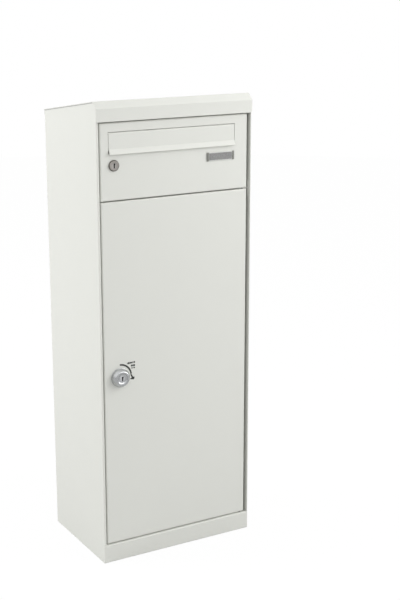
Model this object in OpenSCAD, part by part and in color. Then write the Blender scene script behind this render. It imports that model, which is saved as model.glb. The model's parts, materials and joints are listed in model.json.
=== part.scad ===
// Free-standing letter and parcel box in folded, powder-coated steel sheet.
// The origin is the middle of the base on the floor. The doors face -Y, +X is the hinge side, +Z is up.

/* [Housing] */
// Width over the two side panels
body_w = 370; // [330:2:450]
// Depth from the front edges of the side panels to the back
body_d = 258; // [220:2:360]
// Height of the roof ridge above the floor
body_h = 1012; // [850:2:1250]
// Thickness of the steel sheet
sheet_t = 1.5; // [1:0.1:1.8]
// Inside radius of the bends in the housing
bend_r = 0.8; // [0.4:0.1:0.9]
// Width of the inward flange along the back edges of the side panels
back_flange_w = 16; // [10:1:24]
// Clearance between sheets that are welded to each other
seam = 0.1; // [0.05:0.05:0.2]

/* [Roof] */
// Fall of the roof from the ridge to the back
roof_fall = 38; // [16:1:60]
// Overhang of the roof beyond each side panel
roof_over = 0.8; // [0.4:0.2:5]
// Air gap between the fascia and the front edges of the side panels
fascia_gap = 0.5; // [0.3:0.1:1.5]
// Height of the upright fascia
fascia_h = 27; // [18:0.2:36]
// Height of the sloping band between the fascia and the ridge
band_h = 14; // [8:1:20]
// Depth of the sloping band between the fascia and the ridge
band_d = 14; // [8:1:20]
// Height of the hem that turns down along the back edge of the roof
roof_hem_h = 12; // [8:1:18]
// Width of the flanges under the roof that it is welded to
roof_flange_w = 13; // [8:1:20]

/* [Door bay] */
// Height of the plinth
plinth_h = 41.3; // [30:0.1:60]
// Depth of the foot flange of the plinth
plinth_foot_d = 20; // [12:1:30]
// Distance from the outside of the housing to the rebate on the lock side
jamb_w = 7.6; // [7:0.1:8.4]
// Setback of that flange behind the front edge of the side panel
jamb_set = 3.8; // [3:0.1:6]
// Width of the stops behind the edges of the doors
stop_w = 12.6; // [11:0.1:16]
// Height of the stops above the plinth and under the top rail
stop_h = 12; // [8:1:14]
// Gap between the doors and the stops behind them
stop_gap = 4.4; // [4:0.1:6]
// Height of the part of the divider that shows between the doors when they are open
divider_face_h = 23; // [18:1:30]
// Height of the flanges of the divider
divider_flange_h = 14; // [8:1:20]
// Diameter of the rubber buffers
buffer_d = 8; // [6:0.5:9]
// Distance of the buffers from the top and bottom of each door
buffer_in = 26; // [20:1:60]

/* [Doors] */
// Distance of the door faces behind the front edges of the side panels
door_recess = 4; // [3:0.5:8]
// Width of the housing seen beside the doors on the lock side
door_margin = 9.8; // [9.4:0.1:12]
// Width of the housing seen beside the doors on the hinge side
hinge_margin = 7.6; // [7.2:0.1:9]
// Height of the upper door
upper_door_h = 161; // [150:0.1:200]
// Depth of the door pans
door_d = 18; // [16:0.5:24]
// Inside radius of the bends around the door faces
door_bend_r = 1.5; // [0.8:0.1:2.5]
// Width of the lips around the backs of the doors
door_lip_w = 10; // [8:0.5:12]
// Width of the stiffener in the lower door over its feet
hat_w = 72; // [56:2:110]
// Width of the stiffener's crown
hat_crown_w = 28; // [18:1:32]
// Distance of the stiffener from the top and bottom of the lower door
hat_end = 24; // [16:1:60]
// Gap between the stiffener's crown and the plane of the door's lips
hat_gap = 3; // [2:0.5:6]
// Gap between the lower door and the plinth
sill_gap = 1.6; // [1.4:0.1:4]
// Gap between the two doors
mid_gap = 2.3; // [2.2:0.1:5]
// Gap between the upper door and the fascia
top_gap = 2.5; // [2:0.1:6]

/* [Hinges] */
// Distance of the hinge line from the edge of the doors
hinge_in = 9.2; // [8.4:0.2:9.6]
// Distance of the hinge line behind the door faces
hinge_back = 8; // [7.5:0.5:9]
// Diameter of the hinge pins
pin_d = 5; // [4:0.5:6]
// Reach of the hinge pins into the doors
pin_reach = 11; // [8:1:14]
// Thickness of the middle hinge bracket
bracket_t = 1.5; // [1.2:0.1:1.6]
// Height of the leg of the middle hinge bracket
bracket_h = 36; // [30:2:50]
// Wall of the nylon hinge bushes
bush_wall = 1.6; // [1:0.1:2]

/* [Letter flap] */
// Height of the flap from its rolled edge to the tip of its lip
flap_h = 44.7; // [40:0.1:50]
// Distance from the top of the upper door to the flap
flap_drop = 20; // [18:0.1:22]
// Distance from the lock-side edge of the door to the flap
flap_margin_lock = 19.8; // [18:0.1:30]
// Distance from the hinge-side edge of the door to the flap
flap_margin_hinge = 32.7; // [24:0.1:40]
// Gap around the flap
flap_gap = 1; // [0.8:0.1:1.6]
// Thickness of the flap
flap_t = 1.2; // [1:0.1:1.4]
// Height of the finger lip along the bottom of the flap
lip_h = 10.2; // [8:0.1:12]
// How far the finger lip stands out from the door face
lip_out = 6; // [4:0.5:8]
// Diameter of the rod that the flap swings on
flap_rod_d = 3.4; // [3:0.2:4]
// Depth of the guard behind the letter slot
guard_d = 46; // [36:1:52]
// Height of the guard behind the letter slot
guard_h = 72; // [60:1:90]

/* [Letter-box lock] */
// Distance of the lock from the lock-side edge of the door
lock_in = 30.4; // [27:0.1:36]
// Distance of the lock below the top of the upper door
lock_drop = 88; // [84:1:110]
// Diameter of the lock's head
lock_head_d = 23; // [21:0.5:26]
// Height of the lock's head in front of the door
lock_head_h = 4; // [3:0.5:5]
// Diameter of the lock's barrel
lock_barrel_d = 18.6; // [17:0.2:19]
// Diameter of the key plug
lock_plug_d = 12; // [11:0.5:13]

/* [Parcel-door knob] */
// Distance of the knob from the lock-side edge of the door
knob_in = 36.7; // [35:0.1:42]
// Diameter of the rose under the knob
rose_d = 42; // [40:0.5:46]
// Thickness of the rose
rose_t = 1.6; // [1.2:0.2:2.4]
// Diameter of the knob
knob_d = 40.6; // [37:0.2:41]
// Diameter of the knob's front face
knob_face_d = 33.6; // [31:0.2:36]
// Height of the knob in front of the door
knob_h = 14; // [12:0.5:20]
// Diameter of the dish in the knob's face
knob_dish_d = 23; // [20:0.5:25]
// Depth of the dish in the knob's face
knob_dish_h = 2.4; // [1:0.2:3.4]
// Diameter of the key plug in the knob
knob_plug_d = 13; // [12:0.5:14]
// Diameter of the knob's spindle
spindle_d = 18; // [17:0.5:19]

/* [Cams] */
// How far each cam reaches past the edge of the stop
cam_bite = 9; // [6:0.5:10]
// Width of the cams
cam_w = 14; // [12:0.5:16]
// Thickness of the cams
cam_t = 2.5; // [2:0.1:3]
// Gap between a turned cam and the back of the stop
cam_gap = 0.6; // [0.4:0.1:1]

/* [Name plate] */
// Width of the name plate
plate_w = 67.6; // [60:0.2:80]
// Height of the name plate
plate_h = 18.6; // [17:0.2:24]
// Thickness of the name plate
plate_t = 2.2; // [1.8:0.1:3]
// Distance of the name plate from the hinge-side edge of the door
plate_margin = 33.8; // [24:0.2:40]
// Distance from the top of the upper door to the middle of the name plate
plate_drop = 86.8; // [82:0.2:100]

/* [Fixing holes] */
// Diameter of the anchor holes in the floor
anchor_d = 11; // [9:0.5:13]
// Distance between the anchor holes across the housing
anchor_x = 240; // [180:5:260]
// Distance between the anchor holes from front to back
anchor_y = 140; // [90:5:150]
// Diameter of the wall-fixing holes in the back panel
wall_hole_d = 8.5; // [6:0.5:10]
// Distance between the wall-fixing holes across the back
wall_x = 250; // [180:5:270]
// Distance between the upper and lower wall-fixing holes
wall_z = 600; // [400:10:640]
// Height of the lower wall-fixing holes above the floor
wall_z0 = 120; // [60:5:160]

/* [Hidden] */
$fn = 48;

bend_steps = 5;           // straight steps in each sheet bend
fit = 0.08;               // radial clearance of everything that turns in a bore
far = 2000;               // reach of cutting tools that only have to pass the part

coat = "#e4e5df";
steel = "#b9bcbe";
dark = "#2a2b2c";

// Housing planes
side_x = body_w / 2;
front_y = -body_d / 2;
back_y = body_d / 2;
inner_w = body_w - 2 * (sheet_t + seam);
fascia_y = front_y - sheet_t - fascia_gap;
fascia_z = body_h - band_h - fascia_h;
ridge_y = fascia_y + band_d;
rear_z = body_h - roof_fall;
roof_slope = roof_fall / (back_y - ridge_y);
roof_drop = sheet_t * sqrt(1 + roof_slope * roof_slope);
back_panel_y = back_y - 2 * sheet_t - seam;
rail_set = 0.3;
rail_z = fascia_z + rail_set;
rail_lap = 8;
divider_lap = 20;
buffer_play = 0.3;
buffer_round = 1;

// Door planes
door_front = front_y + door_recess;
door_back = door_front + door_d;
stop_y = door_back + stop_gap;
stop_back = stop_y + sheet_t;
door_x0 = -side_x + door_margin;
door_x1 = side_x - hinge_margin;
door_w = door_x1 - door_x0;
lower_door_z = plinth_h + sill_gap;
upper_door_top = fascia_z - top_gap;
upper_door_z = upper_door_top - upper_door_h;
lower_door_top = upper_door_z - mid_gap;
lower_door_h = lower_door_top - lower_door_z;
mid_z = upper_door_z - mid_gap / 2;
bay_x0 = -side_x + jamb_w + stop_w;
stile_x = side_x - sheet_t - seam;
bay_x1 = stile_x - stop_w;
divider_z = mid_z + divider_face_h / 2;

// Hinge line
hinge_x = door_x1 - hinge_in;
hinge_y = door_front + hinge_back;
bush_r = pin_d / 2 + fit + bush_wall;
bush_collar = 1;
pin_chamfer = 0.6;
pin_head_d = 1.8 * pin_d;
pin_head_h = 2;
washer_play = 0.4;
bracket_set = 3;
bracket_relief = 3;

// Letter flap
flap_x0 = door_x0 + flap_margin_lock;
flap_x1 = door_x1 - flap_margin_hinge;
flap_w = flap_x1 - flap_x0;
flap_top = upper_door_top - flap_drop;
flap_roll_r = sheet_t + seam + flap_rod_d / 2;
rod_y = door_front + flap_roll_r;
rod_z = flap_top - flap_roll_r;
slot_z0 = flap_top - flap_h + 2;
slot_z1 = flap_top + flap_gap;
guard_flange_h = 7;
guard_bevel = 14;
guard_fall = 4;
guard_tuck = 8;
guard_side = 3;
guard_cheek_in = 10;
flap_ear_t = 2;
flap_ear_foot = 12;
flap_ear_drop = 3;
flap_ear_d = 14;
flap_ear_h = 18;
rod_end = flap_gap + 3 + 2 * flap_ear_t;

// Locks
lock_x = door_x0 + lock_in;
lock_z = upper_door_top - lock_drop;
knob_x = door_x0 + knob_in;
knob_z = lower_door_z + lower_door_h / 2;
cam_y = stop_back + cam_gap;
upper_reach = lock_x - bay_x0 + cam_bite;
knob_reach = knob_x - bay_x0 + cam_bite;
lock_nut_t = 4;
lock_nut_af = 24;
knob_barrel_d = spindle_d + 2 * fit + 5;
knob_play = 0.4;
knob_edge_r = 1;
knob_lip_h = 0.2;
knob_plug_set = 1.4;
knob_plug_back = 8;
rose_round = 0.6;
knob_nut_af = 32;
cam_spigot_d = 8;
screw_head_d = 9;
screw_head_h = 3;
screw_flange_w = 1.4;
screw_flange_h = 0.8;
screw_slot_w = 1.2;
screw_slot_h = 1.2;
barrel_end = cam_y - door_front - 0.5;
lock_rim_h = 1;
plug_chamfer = 0.5;
key_w = 2;
key_h = 9.6;
key_ward_x = 0.6;
key_ward_w = 2.4;
key_ward_h = 3.6;
key_depth = 5;

// Name plate
plate_x = door_x1 - plate_margin - plate_w / 2;
plate_z = upper_door_top - plate_drop;
plate_rim = 1.6;
plate_end_w = 5;
plate_step = 0.4;
plate_floor_t = 0.8;
card_w = plate_w - 2 * (plate_rim + plate_end_w);
card_h = plate_h - 2 * (plate_rim + plate_step);

// ---- Sheet metal ----

function unit(v) = v / norm(v);
function left_of(v) = [-v.y, v.x];
function turned(v, a) = [v.x * cos(a) - v.y * sin(a), v.x * sin(a) + v.y * cos(a)];

// Points of one bend at p1, on the face of the sheet, or on its back for behind = 1.
// The sheet's thickness t lies to the left of the path.
function bend(p0, p1, p2, t, r, behind) =
  let(a = unit(p1 - p0),
      b = unit(p2 - p1),
      cross_ab = a.x * b.y - a.y * b.x,
      s = cross_ab > 0 ? 1 : -1,
      turn = acos(a * b),
      face_r = s > 0 ? r + t : r,
      centre = p1 - face_r * tan(turn / 2) * a + s * face_r * left_of(a),
      arm = -s * (face_r - behind * s * t) * left_of(a))
  [for (i = [0:bend_steps]) centre + turned(arm, s * turn * i / bend_steps)];

// One side of a folded strip along the path
function strip_side(path, t, r, behind) =
  let(n = len(path) - 1,
      first = path[0] + behind * t * left_of(unit(path[1] - path[0])),
      last = path[n] + behind * t * left_of(unit(path[n] - path[n - 1])))
  concat([first],
         n < 2 ? [] : [for (i = [1:n - 1]) each bend(path[i - 1], path[i], path[i + 1], t, r, behind)],
         [last]);

function backwards(list) = [for (i = [len(list) - 1:-1:0]) list[i]];

// Points of a rounded front corner of a turned part, as (radius, depth): a quarter circle of radius r about c
function quarter(c, r) = [for (i = [0:bend_steps]) c + turned([0, -r], 90 * i / bend_steps)];

// Section of a sheet folded along a path of corner points
module fold(path, t = sheet_t, r = bend_r)
  polygon(concat(strip_side(path, t, r, 0), backwards(strip_side(path, t, r, 1))));

// Extrudes a (y, z) section along X
module along_x(x0, x1)
  translate([x0, 0, 0]) rotate([90, 0, 90]) linear_extrude(x1 - x0) children();

// Extrudes an (x, z) section along Y
module along_y(y0, y1)
  translate([0, y1, 0]) rotate([90, 0, 0]) linear_extrude(y1 - y0) children();

// Extrudes an (x, y) section upwards
module upright(z0, z1)
  translate([0, 0, z0]) linear_extrude(z1 - z0) children();

// A box between two corners
module block(a, b)
  translate(a) cube(b - a);

// Turns a revolved shape so that its axis points along +Y from the point at
module facing(at)
  translate(at) rotate([-90, 0, 0]) children();

// Rounds the front two corners of a plan section of width w and depth d
module front_rounded(w, d, r)
  polygon(concat(
    [for (i = [0:bend_steps]) [-w / 2 + r, r] + turned([-r, 0], 90 * i / bend_steps)],
    [for (i = [0:bend_steps]) [w / 2 - r, r] + turned([0, -r], 90 * i / bend_steps)],
    [[w / 2, d], [-w / 2, d]]));

// A block with rounded edges all round its front face, which lies at y = 0
module pillow(w, h, d, r)
  intersection() {
    upright(0, h) front_rounded(w, d, r);
    translate([-w / 2, 0, h / 2]) rotate([0, 90, 0])
      linear_extrude(w) front_rounded(h, d, r);
  }

// A folded pan: a face at y = 0, flanges d deep all round and lips round its open back
module pan(w, h, d, lip, t, r) {
  difference() {
    pillow(w, h, d, r + t);
    translate([0, t, t]) pillow(w - 2 * t, h - 2 * t, d, r);
  }
  difference() {
    block([-w / 2 + t / 2, d - t, t / 2], [w / 2 - t / 2, d, h - t / 2]);
    block([-w / 2 + lip, 0, lip], [w / 2 - lip, d + t, h - lip]);
  }
}

// ---- Housing ----

// Outline of a side panel, seen from the side
module side_outline() {
  under = body_h - roof_drop - seam;
  nose = fascia_y + sheet_t + seam + fascia_gap;
  polygon([
    [front_y + sheet_t + seam, 0],
    [back_y, 0],
    [back_y, rear_z - roof_hem_h - seam],
    [back_y - sheet_t - seam, rear_z - roof_hem_h - seam],
    [back_y - sheet_t - seam, under - bend_r - roof_slope * (back_y - sheet_t - seam - ridge_y)],
    [back_y - sheet_t - seam - bend_r, under - roof_slope * (back_y - sheet_t - seam - bend_r - ridge_y)],
    [ridge_y + 1, under - roof_slope],
    [nose - seam, fascia_z + fascia_h - sheet_t - seam - 1],
    [nose - seam, plinth_h + seam],
    [front_y + sheet_t + seam, plinth_h + seam]]);
}

// The flange under the roof that stiffens the top of a side panel
module roof_flange(x0, x1) {
  y0 = ridge_y + 4;
  y1 = back_panel_y - seam;
  top = body_h - roof_drop - seam;
  along_x(x0, x1)
    polygon([
      [y0, top - roof_slope * (y0 - ridge_y)],
      [y0, top - roof_slope * (y0 - ridge_y) - roof_drop],
      [y1, top - roof_slope * (y1 - ridge_y) - roof_drop],
      [y1, top - roof_slope * (y1 - ridge_y)]]);
}

// A side panel with its back flange, on the side s = -1 (lock side) or s = 1 (hinge side)
module side_panel(s)
  mirror([s < 0 ? 1 : 0, 0, 0]) {
    intersection() {
      upright(0, body_h)
        fold([[side_x, front_y], [side_x, back_y], [side_x - back_flange_w, back_y]]);
      along_x(0, side_x + 1) side_outline();
    }
    roof_flange(side_x - roof_flange_w, side_x - sheet_t / 2);
  }

module left_side_panel() color(coat) side_panel(-1);
module right_side_panel() color(coat) side_panel(1);

module back_panel() color(coat)
  difference() {
    top = body_h - roof_drop - seam - roof_slope * (back_panel_y + sheet_t - ridge_y);
    half_w = inner_w / 2 - bend_r;
    block([-half_w, back_panel_y, seam], [half_w, back_panel_y + sheet_t, top - bend_r]);
    for (x = [-1, 1])
      for (z = [0, 1])
        facing([x * wall_x / 2, back_panel_y - 1, wall_z0 + z * wall_z])
          cylinder(d = wall_hole_d, h = sheet_t + 2);
  }

module floor_tray() color(coat) {
  y0 = front_y + plinth_foot_d + seam;
  y1 = back_panel_y - seam;
  difference() {
    translate([0, y1, 0]) rotate([90, 0, 0])
      difference() {
        pillow(inner_w, y1 - y0, plinth_foot_d, bend_r + sheet_t);
        translate([0, sheet_t, sheet_t])
          pillow(inner_w - 2 * sheet_t, y1 - y0 - 2 * sheet_t, plinth_foot_d, bend_r);
      }
    for (x = [-1, 1])
      for (y = [-1, 1])
        translate([x * anchor_x / 2, y * anchor_y / 2, -1]) cylinder(d = anchor_d, h = sheet_t + 2);
  }
}

module plinth() color(coat)
  difference() {
    along_x(-side_x, side_x)
      fold([[stop_y, plinth_h + stop_h],
            [stop_y, plinth_h],
            [front_y, plinth_h],
            [front_y, 0],
            [front_y + plinth_foot_d, 0]]);
    for (s = [-1, 1])
      block([s > 0 ? inner_w / 2 : -far, front_y + sheet_t, -1],
            [s > 0 ? far : -inner_w / 2, stop_back + 1, plinth_h + stop_h + 1]);
    block([-far, front_y + sheet_t, plinth_h], [bay_x0 + seam, stop_back + 1, plinth_h + stop_h + 1]);
    block([bay_x1 - seam, front_y + sheet_t, plinth_h], [far, stop_back + 1, plinth_h + stop_h + 1]);
    translate([hinge_x, hinge_y, plinth_h - sheet_t - 1]) cylinder(d = pin_d + 2 * fit, h = sheet_t + 2);
  }

module roof_cap() color(coat)
  difference() {
    along_x(-side_x - roof_over, side_x + roof_over)
      fold([[back_y, rear_z - roof_hem_h],
            [back_y, rear_z],
            [ridge_y, body_h],
            [fascia_y, fascia_z + fascia_h],
            [fascia_y, fascia_z]]);
    // The hem ends flush with the side panels
    for (s = [-1, 1])
      block([s > 0 ? side_x : -far, back_y - 2 * sheet_t, rear_z - roof_hem_h - 1],
            [s > 0 ? far : -side_x, back_y + 1, rear_z - sheet_t - bend_r]);
  }

module top_rail() color(coat) {
  y0 = fascia_y + sheet_t + seam;
  difference() {
    along_x(-inner_w / 2, inner_w / 2)
      fold([[y0, rail_z + fascia_h - rail_lap],
            [y0, rail_z],
            [stop_y, rail_z],
            [stop_y, rail_z - stop_h]]);
    block([-far, front_y, 0], [bay_x0 + seam, stop_back + 1, rail_z]);
    block([bay_x1 - seam, front_y, 0], [far, stop_back + 1, rail_z]);
    translate([hinge_x, hinge_y, rail_z - 1]) cylinder(d = pin_d + 2 * fit, h = sheet_t + 2);
  }
}

module divider_shelf() color(coat) {
  y0 = stop_back + seam;
  y1 = back_panel_y - seam;
  low = divider_z - divider_face_h;
  flange_z = divider_z - divider_flange_h;
  along_x(bay_x0 + seam, bay_x1 - seam)
    fold([[y0 + divider_lap, divider_z],
          [stop_y, divider_z],
          [stop_y, low],
          [stop_y + divider_flange_h, low]]);
  along_y(stop_y + divider_flange_h + seam, y1 - bend_r - sheet_t)
    fold([[inner_w / 2, flange_z], [inner_w / 2, divider_z], [-inner_w / 2, divider_z],
          [-inner_w / 2, flange_z]]);
  along_x(-inner_w / 2 + bend_r + sheet_t, inner_w / 2 - bend_r - sheet_t)
    fold([[y1, flange_z], [y1, divider_z], [y1 - divider_lap, divider_z]]);
}

// Front flange and rebate on the lock side
module lock_jamb() color(coat)
  upright(plinth_h + seam, rail_z - seam)
    fold([[-stile_x, front_y + jamb_set],
          [-side_x + jamb_w, front_y + jamb_set],
          [-side_x + jamb_w, stop_y - seam]]);

// The strip behind the rebate that the doors close against and the cams hook behind
module lock_stop() color(coat)
  block([-side_x + jamb_w - sheet_t, stop_y, plinth_h + seam], [bay_x0, stop_back, rail_z - seam]);

module hinge_stile() color(coat)
  upright(plinth_h + seam, rail_z - seam)
    fold([[bay_x1, stop_y], [stile_x, stop_y], [stile_x, stop_y + divider_flange_h]]);

module mid_hinge_bracket() color(coat) {
  y0 = door_front + bracket_set;
  y1 = stop_y - seam;
  difference() {
    union() {
      block([hinge_x - pin_d, y0, mid_z - bracket_t / 2], [stile_x, y1, mid_z + bracket_t / 2]);
      block([stile_x - bracket_t, y0, mid_z - bracket_h / 2], [stile_x, y1, mid_z + bracket_h / 2]);
    }
    translate([hinge_x, hinge_y, mid_z - bracket_t]) cylinder(d = pin_d + 2 * fit, h = 2 * bracket_t);
    block([hinge_x - pin_d - 1, y0 - 1, mid_z - bracket_t],
          [door_x1, y0 + bracket_relief, mid_z + bracket_t]);
  }
}

// A hinge pin with chamfered ends, from height z0 to z1
module pin(z0, z1)
  translate([hinge_x, hinge_y, 0])
    rotate_extrude()
      polygon([[0, z0], [pin_d / 2 - pin_chamfer, z0], [pin_d / 2, z0 + pin_chamfer],
               [pin_d / 2, z1 - pin_chamfer], [pin_d / 2 - pin_chamfer, z1], [0, z1]]);

module hinge_pins() color(steel) {
  pin(upper_door_top - pin_reach, rail_z + sheet_t + pin_head_h / 2);
  translate([hinge_x, hinge_y, rail_z + sheet_t + seam]) cylinder(d = pin_head_d, h = pin_head_h);
  pin(lower_door_top - pin_reach, upper_door_z + pin_reach);
  pin(plinth_h - sheet_t - pin_head_h / 2, lower_door_z + pin_reach);
  translate([hinge_x, hinge_y, plinth_h - sheet_t - seam - pin_head_h])
    cylinder(d = pin_head_d, h = pin_head_h);
}

module bottom_washer() color(dark)
  translate([hinge_x, hinge_y, plinth_h])
    difference() {
      cylinder(r = bush_r + bush_collar, h = sill_gap - washer_play);
      translate([0, 0, -1]) cylinder(d = pin_d + 2 * fit, h = sill_gap + 2);
    }

module door_buffers() color(dark)
  for (z = [lower_door_z + buffer_in, lower_door_top - buffer_in,
            upper_door_z + buffer_in, upper_door_top - buffer_in])
    facing([-side_x + jamb_w + stop_w / 2, door_back + buffer_play, z])
      rotate_extrude()
        polygon([[0, 0], [buffer_d / 2 - buffer_round, 0], [buffer_d / 2, buffer_round],
                 [buffer_d / 2, stop_gap - buffer_play], [0, stop_gap - buffer_play]]);

// ---- Upper door ----

// A door pan with holes for its hinge bushes
module door_pan(z0, h)
  difference() {
    translate([(door_x0 + door_x1) / 2, door_front, z0])
      pan(door_w, h, door_d, door_lip_w, sheet_t, door_bend_r);
    translate([hinge_x, hinge_y, z0 - 1]) cylinder(r = bush_r + fit, h = h + 2);
  }

// A flanged nylon bush, its collar on the inside of the flange, up = 1 for the bottom flange
module bush(z, up)
  translate([hinge_x, hinge_y, z]) mirror([0, 0, up > 0 ? 0 : 1])
    rotate_extrude()
      polygon([[pin_d / 2 + fit, 0], [bush_r, 0], [bush_r, sheet_t + seam],
               [bush_r + bush_collar, sheet_t + seam],
               [bush_r + bush_collar, sheet_t + seam + bush_collar], [bush_r, sheet_t + seam + bush_collar],
               [bush_r, pin_reach - 1], [pin_d / 2 + fit, pin_reach - 1]]);

module upper_door() color(coat)
  difference() {
    door_pan(upper_door_z, upper_door_h);
    block([flap_x0 - flap_gap, door_front - 1, slot_z0],
          [flap_x1 + flap_gap, door_front + sheet_t + 1, slot_z1]);
    facing([lock_x, door_front - 1, lock_z]) cylinder(d = lock_barrel_d + 2 * fit, h = sheet_t + 2);
  }

module upper_door_bushes() color(dark) {
  bush(upper_door_z, 1);
  bush(upper_door_top, -1);
}

// The guard that keeps hands out of the letter compartment: a hood over the slot, with two cheeks
module letter_guard() color(coat) {
  y0 = door_front + sheet_t + seam;
  y1 = y0 + guard_d;
  top = slot_z1 + 1;
  knee_z = top - 0.6 * guard_h;
  x0 = flap_x0 - guard_side;
  x1 = flap_x1 - guard_side;
  along_x(x0, x1)
    fold([[y0, top + guard_flange_h], [y0, top], [y1 - guard_bevel, top - guard_fall], [y1, knee_z],
          [y1 - guard_tuck, top - guard_h]]);
  for (x = [x0, x1 - sheet_t])
    along_x(x, x + sheet_t)
      polygon([[y0 + guard_cheek_in, top], [y1 - guard_bevel + 1, top - guard_fall],
               [y1 + sheet_t / 2, knee_z], [y0 + guard_cheek_in, knee_z + guard_tuck]]);
}

module flap_rod() color(steel)
  translate([flap_x0 - rod_end, rod_y, rod_z]) rotate([0, 90, 0])
    cylinder(d = flap_rod_d, h = flap_w + 2 * rod_end);

// Bent ears inside the door that hold the ends of the rod
module flap_brackets() color(steel) {
  y0 = door_front + sheet_t + seam;
  gap = flap_gap + 2;
  foot = gap + flap_ear_foot;
  middle_z = rod_z - flap_ear_drop;
  for (s = [-1, 1]) {
    x = s < 0 ? flap_x0 : flap_x1;
    difference() {
      upright(middle_z - flap_ear_h / 2, middle_z + flap_ear_h / 2)
        polygon([for (p = [[foot, 0], [gap, 0], [gap, flap_ear_d], [gap + flap_ear_t, flap_ear_d],
                           [gap + flap_ear_t, flap_ear_t], [foot, flap_ear_t]])
                   [x + s * p.x, y0 + p.y]]);
      translate([x - foot, rod_y, rod_z]) rotate([0, 90, 0]) cylinder(d = flap_rod_d + 2 * fit, h = 2 * foot);
    }
  }
}

// The flap: a rolled hinge edge, a flat face and a lip that flares out for the fingers
module letter_flap() color(coat) {
  bend_z = flap_top - flap_h + lip_h;
  tip = [door_front - lip_out, flap_top - flap_h];
  difference() {
    union() {
      translate([flap_x0, rod_y, rod_z]) rotate([0, 90, 0]) cylinder(r = flap_roll_r, h = flap_w);
      along_x(flap_x0, flap_x1)
        fold([[door_front, rod_z], [door_front, bend_z], tip], flap_t, bend_r);
    }
    translate([flap_x0 - 1, rod_y, rod_z]) rotate([0, 90, 0])
      cylinder(d = flap_rod_d + 2 * fit, h = flap_w + 2);
  }
}

// ---- Locks ----

// Head and threaded barrel of the letter-box lock
module upper_lock_body() color(steel)
  facing([lock_x, door_front, lock_z])
    rotate_extrude()
      polygon(concat(
        [[lock_plug_d / 2 + fit, -lock_head_h + 0.4], [lock_plug_d / 2 + 1.2, -lock_head_h]],
        quarter([lock_head_d / 2 - lock_head_h + lock_rim_h, -lock_rim_h], lock_head_h - lock_rim_h),
        [[lock_head_d / 2, -seam], [lock_barrel_d / 2, -seam],
         [lock_barrel_d / 2, barrel_end], [lock_plug_d / 2 + fit, barrel_end]]));

// Hexagonal nut on a lock's barrel
module hex_nut(at, af, bore, t)
  facing(at)
    difference() {
      cylinder(d = af / cos(30), h = t, $fn = 6);
      translate([0, 0, -1]) cylinder(d = bore + 2 * fit, h = t + 2);
    }

module upper_lock_nut() color(steel)
  hex_nut([lock_x, door_front + sheet_t + seam, lock_z], lock_nut_af, lock_barrel_d, lock_nut_t);

// Key plug with its keyway, and a spigot that carries the cam
module key_plug(at, d, front, back)
  difference() {
    facing(at)
      rotate_extrude()
        polygon([[0, -front], [d / 2 - plug_chamfer, -front], [d / 2, -front + plug_chamfer],
                 [d / 2, back - cam_t - seam], [cam_spigot_d / 2, back - cam_t - seam],
                 [cam_spigot_d / 2, back], [0, back]]);
    keyway(at, front);
  }

// Keyway cut into a plug's face: a narrow slot that widens at the top for the ward of the key
module keyway(at, front)
  for (cut = [[0, -key_h / 2, key_w, key_h], [key_ward_x, key_h / 2 - key_ward_h, key_ward_w, key_ward_h]])
    block([at.x + cut[0] - cut[2] / 2, at.y - front - 1, at.z + cut[1]],
          [at.x + cut[0] + cut[2] / 2, at.y - front + key_depth, at.z + cut[1] + cut[3]]);

module upper_lock_plug() color(steel)
  key_plug([lock_x, door_front, lock_z], lock_plug_d, lock_head_h - 0.6, cam_y + cam_t - door_front);

// Cam that points down when it is open and reaches behind the stop when it is turned
module cam(x, z, reach)
  along_y(cam_y, cam_y + cam_t)
    difference() {
      union() {
        translate([x, z]) circle(d = cam_w + 2);
        translate([x - cam_w / 2, z - reach + cam_w / 4]) square([cam_w, reach - cam_w / 4]);
        translate([x - cam_w / 4, z - reach]) square([cam_w / 2, cam_w]);
        for (s = [-1, 1])
          translate([x + s * cam_w / 4, z - reach + cam_w / 4]) circle(d = cam_w / 2);
      }
      translate([x, z]) circle(d = cam_spigot_d + 2 * fit);
    }

// Screw that holds a cam, its head on the end of the spigot
module cam_screw(x, z)
  facing([x, cam_y + cam_t + seam, z])
    difference() {
      rotate_extrude()
        polygon([[0, 0], [screw_head_d / 2 + screw_flange_w, 0],
                 [screw_head_d / 2 + screw_flange_w, screw_flange_h], [screw_head_d / 2, screw_flange_h],
                 [screw_head_d / 2, screw_head_h - 1], [screw_head_d / 2 - 1, screw_head_h],
                 [0, screw_head_h]]);
      block([-screw_slot_w / 2, -screw_head_d, screw_head_h - screw_slot_h],
            [screw_slot_w / 2, screw_head_d, screw_head_h + 1]);
    }

module upper_lock_cam() color(steel) cam(lock_x, lock_z, upper_reach);
module upper_cam_screw() color(steel) cam_screw(lock_x, lock_z);

// ---- Name plate ----

// A plate in the plane of the doors, centred on the name plate
module plate_block(w, h, y0, y1, dx = 0)
  block([plate_x + dx - w / 2, y0, plate_z - h / 2], [plate_x + dx + w / 2, y1, plate_z + h / 2]);

// The rim round the card and the taller end caps
module name_plate_frame() color(steel)
  difference() {
    y0 = door_front - plate_t;
    y1 = door_front - seam;
    union() {
      plate_block(plate_w - plate_end_w, plate_h - 2 * plate_step, y0 + plate_step, y1);
      for (s = [-1, 1]) plate_block(plate_end_w, plate_h, y0, y1, s * (plate_w - plate_end_w) / 2);
    }
    plate_block(card_w, card_h, y0 - 1, door_front - plate_floor_t);
  }

module name_plate_card() color("#8c8b8b")
  plate_block(card_w - 2 * seam, card_h - 2 * seam, door_front - plate_t + 2 * plate_step,
              door_front - plate_floor_t - seam);

// ---- Lower door ----

module lower_door() color(coat)
  difference() {
    door_pan(lower_door_z, lower_door_h);
    facing([knob_x, door_front - 1, knob_z]) cylinder(d = knob_barrel_d + 2 * fit, h = sheet_t + 2);
  }

module lower_door_bushes() color(dark) {
  bush(lower_door_z, 1);
  bush(lower_door_top, -1);
}

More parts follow.
